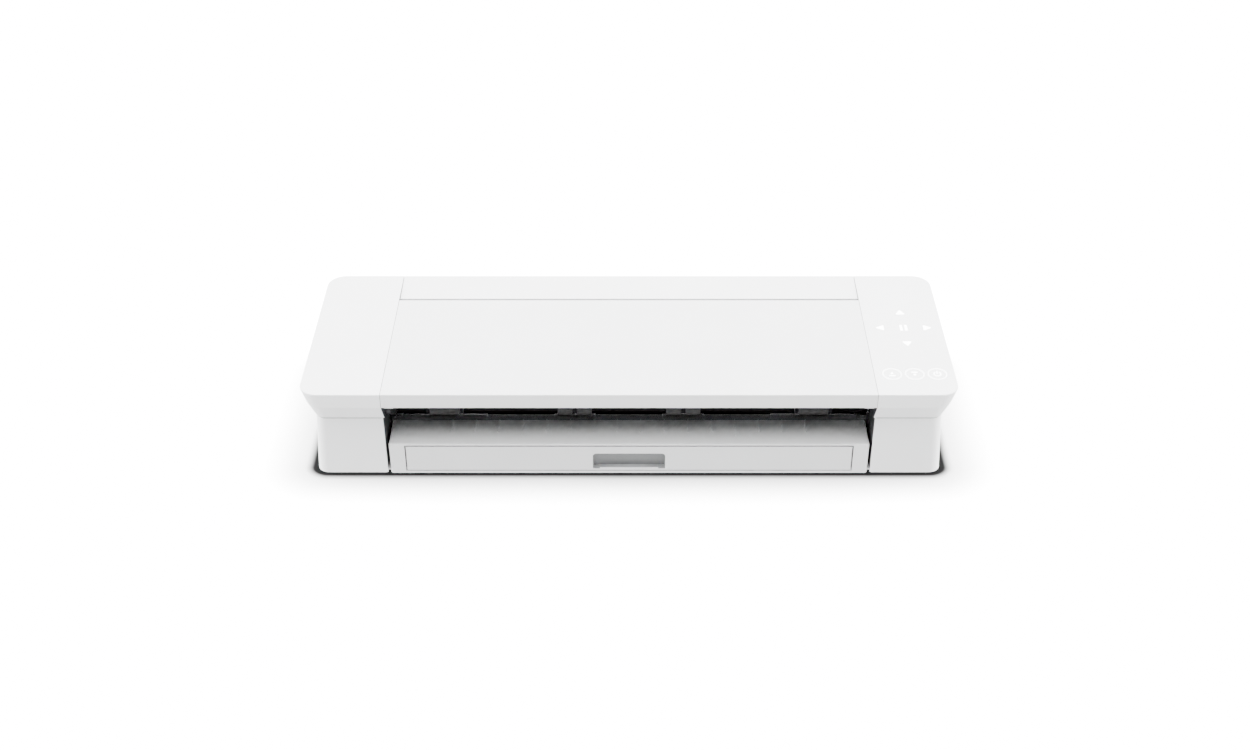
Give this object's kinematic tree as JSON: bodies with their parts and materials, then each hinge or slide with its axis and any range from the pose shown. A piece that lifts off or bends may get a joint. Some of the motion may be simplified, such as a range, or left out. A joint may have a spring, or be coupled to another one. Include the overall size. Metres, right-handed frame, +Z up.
{
  "type": "vinyl cutter",
  "caption": "Low desktop vinyl cutter with a sliding lid, front-to-back media slot, tool carriage on a rail, grit and pinch rollers, and a pull-out drawer with a roll feeder.",
  "frame": {"origin": "centre of the footprint at floor level, under the feet", "axes": "+Z up, front with the media slot and drawer faces -Y, +X to the right seen from the front"},
  "size_m": [0.57, 0.195, 0.096],
  "materials": {
    "shell_white": "satin moulded white",
    "lid_white": "fine matt moulded white",
    "inner_white": "matt off-white",
    "apron_white": "satin moulded white, a shade greyer than the shell",
    "dark_plastic": "matt near-black",
    "grey_plastic": "matt mid grey",
    "accent_plastic": "satin grey-blue",
    "frame_steel": "zinc-plated sheet",
    "rail_aluminium": "anodised, brushed along its length",
    "grit_steel": "turned steel with gritted bands",
    "black_rubber": "matt black rubber",
    "grey_rubber": "matt grey rubber tyre",
    "board_green": "solder-resist green"
  },
  "bodies": {
    "chassis": {"right_end_housing": "shell_white", "left_end_housing": "shell_white", "right_side_cover": "shell_white", "left_side_cover": "shell_white", "rear_top_strip": "shell_white", "rear_cover": "shell_white", "base_pan": "inner_white", "foot_front_left": "black_rubber", "foot_front_right": "black_rubber", "foot_rear_left": "black_rubber", "foot_rear_right": "black_rubber", "media_apron": "apron_white", "right_side_frame": "frame_steel", "left_side_frame": "frame_steel", "platen": "dark_plastic", "cutting_strip": "inner_white", "right_roller_bush": "dark_plastic", "left_roller_bush": "dark_plastic", "feed_belt": "black_rubber", "feed_motor": "frame_steel", "carriage_rail": "rail_aluminium", "idler_bracket": "frame_steel", "carriage_belt": "black_rubber", "carriage_motor": "frame_steel", "main_board": "board_green", "touch_board": "board_green", "power_jack": "dark_plastic", "usb_socket": "frame_steel"},
    "lid": {"lid": "lid_white"},
    "drawer": {"drawer_front": "apron_white", "drawer_tray": "inner_white"},
    "front_feed_roller": {"feed_roller_front": "grey_plastic"},
    "rear_feed_roller": {"feed_roller_rear": "grey_plastic"},
    "left_guide": {"roll_guide_left": "accent_plastic"},
    "right_guide": {"roll_guide_right": "accent_plastic"},
    "grit_roller": {"grit_roller": "grit_steel", "grit_roller_pulley": "dark_plastic"},
    "feed_motor_pulley": {"feed_motor_pulley": "frame_steel"},
    "pinch_beam": {"pinch_bar": "frame_steel", "pinch_arm_1": "dark_plastic", "pinch_arm_2": "dark_plastic", "pinch_arm_3": "dark_plastic", "pinch_arm_4": "dark_plastic"},
    "pinch_roller_1": {"pinch_roller_1": "grey_rubber"},
    "pinch_roller_2": {"pinch_roller_2": "grey_rubber"},
    "pinch_roller_3": {"pinch_roller_3": "grey_rubber"},
    "pinch_roller_4": {"pinch_roller_4": "grey_rubber"},
    "release_lever": {"release_lever": "dark_plastic"},
    "carriage": {"carriage_body": "dark_plastic", "carriage_cover": "inner_white"},
    "tool_a": {"tool_holder_a": "inner_white", "blade_tool": "dark_plastic"},
    "tool_b": {"tool_holder_b": "inner_white", "tool_blank": "grey_plastic"},
    "lock_a": {"tool_lock_a": "accent_plastic"},
    "lock_b": {"tool_lock_b": "accent_plastic"},
    "drive_pulley": {"drive_pulley": "frame_steel"},
    "idler_pulley": {"idler_pulley": "dark_plastic"}
  },
  "joints": [
    {"name": "lid_slide", "type": "slide", "parent": "chassis", "child": "lid", "axis": [0, 0.9991, 0.0413], "range_m": [0, 0.108]},
    {"name": "drawer_slide", "type": "slide", "parent": "chassis", "child": "drawer", "axis": [0, -1, 0], "range_m": [0, 0.075]},
    {"name": "front_feed_roller_spin", "type": "hinge", "parent": "drawer", "child": "front_feed_roller", "pos_m": [0, -0.052, 0.0145], "axis": [1, 0, 0], "continuous": true},
    {"name": "rear_feed_roller_spin", "type": "hinge", "parent": "drawer", "child": "rear_feed_roller", "pos_m": [0, -0.022, 0.0145], "axis": [1, 0, 0], "continuous": true},
    {"name": "left_guide_slide", "type": "slide", "parent": "drawer", "child": "left_guide", "axis": [1, 0, 0], "range_m": [0, 0.1]},
    {"name": "right_guide_slide", "type": "slide", "parent": "drawer", "child": "right_guide", "axis": [1, 0, 0], "range_m": [-0.1, 0]},
    {"name": "grit_roller_spin", "type": "hinge", "parent": "chassis", "child": "grit_roller", "pos_m": [0, -0.0415, 0.028], "axis": [1, 0, 0], "continuous": true},
    {"name": "feed_motor_spin", "type": "hinge", "parent": "chassis", "child": "feed_motor_pulley", "pos_m": [0.227, 0.005, 0.028], "axis": [1, 0, 0], "continuous": true},
    {"name": "pinch_lift", "type": "slide", "parent": "chassis", "child": "pinch_beam", "axis": [0, 0, 1], "range_m": [0, 0.003]},
    {"name": "release_lever_turn", "type": "hinge", "parent": "chassis", "child": "release_lever", "pos_m": [-0.218, -0.045, 0.0413], "axis": [1, 0, 0], "range_deg": [0, 40]},
    {"name": "pinch_roller_1_spin", "type": "hinge", "parent": "pinch_beam", "child": "pinch_roller_1", "pos_m": [-0.1665, -0.0415, 0.0389], "axis": [1, 0, 0], "continuous": true},
    {"name": "pinch_roller_2_spin", "type": "hinge", "parent": "pinch_beam", "child": "pinch_roller_2", "pos_m": [-0.04905, -0.0415, 0.0389], "axis": [1, 0, 0], "continuous": true},
    {"name": "pinch_roller_3_spin", "type": "hinge", "parent": "pinch_beam", "child": "pinch_roller_3", "pos_m": [0.04905, -0.0415, 0.0389], "axis": [1, 0, 0], "continuous": true},
    {"name": "pinch_roller_4_spin", "type": "hinge", "parent": "pinch_beam", "child": "pinch_roller_4", "pos_m": [0.1665, -0.0415, 0.0389], "axis": [1, 0, 0], "continuous": true},
    {"name": "carriage_slide", "type": "slide", "parent": "chassis", "child": "carriage", "axis": [1, 0, 0], "range_m": [-0.33, 0]},
    {"name": "drive_pulley_spin", "type": "hinge", "parent": "chassis", "child": "drive_pulley", "pos_m": [0.2375, 0.028, 0.06], "axis": [0, 1, 0], "continuous": true},
    {"name": "idler_pulley_spin", "type": "hinge", "parent": "chassis", "child": "idler_pulley", "pos_m": [-0.2375, 0.028, 0.06], "axis": [0, 1, 0], "continuous": true},
    {"name": "tool_a_lift", "type": "slide", "parent": "carriage", "child": "tool_a", "axis": [0, 0, 1], "range_m": [-0.005, 0]},
    {"name": "tool_b_lift", "type": "slide", "parent": "carriage", "child": "tool_b", "axis": [0, 0, 1], "range_m": [-0.005, 0]},
    {"name": "tool_a_lock_turn", "type": "hinge", "parent": "tool_a", "child": "lock_a", "pos_m": [0.135, -0.0366, 0.069], "axis": [0, 0, -1], "range_deg": [0, 60]},
    {"name": "tool_b_lock_turn", "type": "hinge", "parent": "tool_b", "child": "lock_b", "pos_m": [0.171, -0.0366, 0.069], "axis": [0, 0, -1], "range_deg": [0, 60]}
  ],
  "couplings": [
    {"joint": "feed_motor_spin", "follows": "grit_roller_spin", "ratio": 2.1667},
    {"joint": "release_lever_turn", "follows": "pinch_lift", "rad_per_m": 232.6},
    {"joint": "drive_pulley_spin", "follows": "carriage_slide", "rad_per_m": 115.6},
    {"joint": "idler_pulley_spin", "follows": "carriage_slide", "rad_per_m": 115.6},
    {"joint": "pinch_roller_1_spin", "follows": "grit_roller_spin", "ratio": -1.2444},
    {"joint": "pinch_roller_2_spin", "follows": "grit_roller_spin", "ratio": -1.2444},
    {"joint": "pinch_roller_3_spin", "follows": "grit_roller_spin", "ratio": -1.2444},
    {"joint": "pinch_roller_4_spin", "follows": "grit_roller_spin", "ratio": -1.2444}
  ]
}
